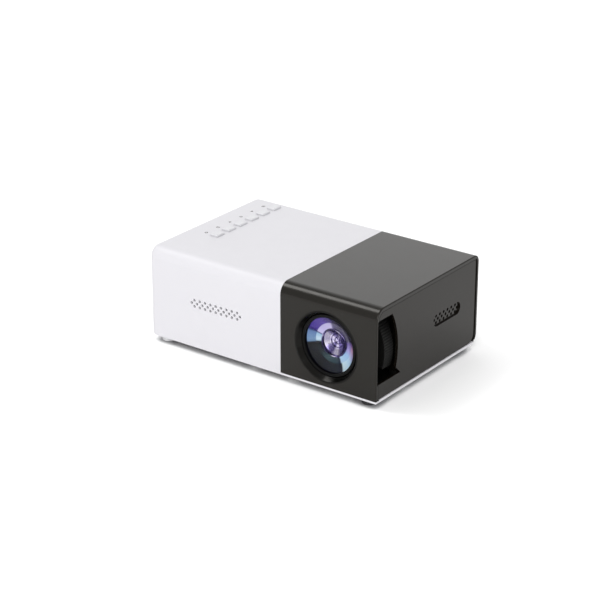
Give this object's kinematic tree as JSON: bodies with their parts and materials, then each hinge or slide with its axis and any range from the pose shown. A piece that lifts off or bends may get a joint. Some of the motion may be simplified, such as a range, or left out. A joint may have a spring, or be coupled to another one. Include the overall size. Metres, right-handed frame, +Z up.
{
  "type": "home projector",
  "caption": "Small two-tone box projector with a recessed front lens, a side focus thumbwheel, a grilled end panel and a row of top keys.",
  "frame": {"origin": "on the table under the middle of the casing", "axes": "+X along the casing to its dark end, -Y the way the lens looks, +Z up"},
  "size_m": [0.126, 0.081, 0.0474],
  "materials": {
    "white_plastic": "satin white",
    "dark_plastic": "glossy brown-black",
    "dark_panel": "high gloss brown-black",
    "key_plastic": "satin white",
    "rubber": "matte black",
    "lens_glass": "coated glass",
    "clear_glass": "clear",
    "black_plastic": "matte black",
    "panel_glass": "polarised panel",
    "mirror": "polished",
    "steel": "plain",
    "aluminium": "machined",
    "brass": "plain",
    "board": "solder mask",
    "paper": "paper cone",
    "wire": "insulation"
  },
  "bodies": {
    "case": {"audio_jack": "black_plastic", "av_jack": "black_plastic", "base_shell": "white_plastic", "board_parts": "board", "board_screws": "steel", "card_socket": "black_plastic", "case_screws": "steel", "collimator_lens": "clear_glass", "dark_cover": "dark_plastic", "end_panel": "dark_panel", "engine_housing": "black_plastic", "engine_lid": "black_plastic", "engine_screws": "steel", "fan_frame": "black_plastic", "fan_screws": "steel", "field_lens": "clear_glass", "fold_mirror": "mirror", "hdmi_socket": "steel", "heat_glass": "clear_glass", "heat_sink": "aluminium", "key_board": "board", "key_board_screws": "steel", "key_switches": "black_plastic", "lcd_frame": "black_plastic", "lcd_panel": "panel_glass", "lcd_ribbon": "wire", "led_module": "board", "led_wires": "wire", "lens_bezel": "dark_plastic", "lens_mount": "black_plastic", "main_board": "board", "main_chip": "aluminium", "mount_screws": "steel", "power_socket": "black_plastic", "reflector": "aluminium", "ring_clip": "steel", "rubber_feet": "rubber", "speaker_cone": "paper", "speaker_frame": "black_plastic", "speaker_magnet": "steel", "tripod_insert": "brass", "usb_socket": "steel", "white_cover": "white_plastic"},
    "focus_ring": {"focus_ring": "black_plastic"},
    "lens_barrel": {"lens_barrel": "black_plastic", "guide_pins": "steel", "front_lens": "lens_glass", "lens_retainer": "black_plastic", "aperture_stop": "black_plastic", "middle_lens": "lens_glass", "rear_lens": "lens_glass"},
    "fan_rotor": {"fan_rotor": "black_plastic"},
    "power_key": {"power_key": "key_plastic"},
    "source_key": {"source_key": "key_plastic"},
    "left_key": {"left_key": "key_plastic"},
    "ok_key": {"ok_key": "key_plastic"},
    "right_key": {"right_key": "key_plastic"},
    "menu_key": {"menu_key": "key_plastic"}
  },
  "joints": [
    {"name": "focus_turn", "type": "hinge", "parent": "case", "child": "focus_ring", "pos_m": [0.0365, -0.02785, 0.0226], "axis": [0, -1, 0], "range_deg": [-28, 21]},
    {"name": "barrel_slide", "type": "slide", "parent": "case", "child": "lens_barrel", "axis": [0, -1, 0], "range_m": [-0.00202, 0.00147]},
    {"name": "fan_spin", "type": "hinge", "parent": "case", "child": "fan_rotor", "pos_m": [-0.0243, -0.0346, 0.0247], "axis": [0, 1, 0], "continuous": true},
    {"name": "power_press", "type": "slide", "parent": "case", "child": "power_key", "axis": [0, 0, -1], "range_m": [0, 0.0005], "stiffness_N_per_m": 300},
    {"name": "source_press", "type": "slide", "parent": "case", "child": "source_key", "axis": [0, 0, -1], "range_m": [0, 0.0005], "stiffness_N_per_m": 300},
    {"name": "left_press", "type": "slide", "parent": "case", "child": "left_key", "axis": [0, 0, -1], "range_m": [0, 0.0005], "stiffness_N_per_m": 300},
    {"name": "ok_press", "type": "slide", "parent": "case", "child": "ok_key", "axis": [0, 0, -1], "range_m": [0, 0.0005], "stiffness_N_per_m": 300},
    {"name": "right_press", "type": "slide", "parent": "case", "child": "right_key", "axis": [0, 0, -1], "range_m": [0, 0.0005], "stiffness_N_per_m": 300},
    {"name": "menu_press", "type": "slide", "parent": "case", "child": "menu_key", "axis": [0, 0, -1], "range_m": [0, 0.0005], "stiffness_N_per_m": 300}
  ],
  "couplings": [
    {"joint": "focus_turn", "follows": "barrel_slide", "rad_per_m": 224.4}
  ]
}
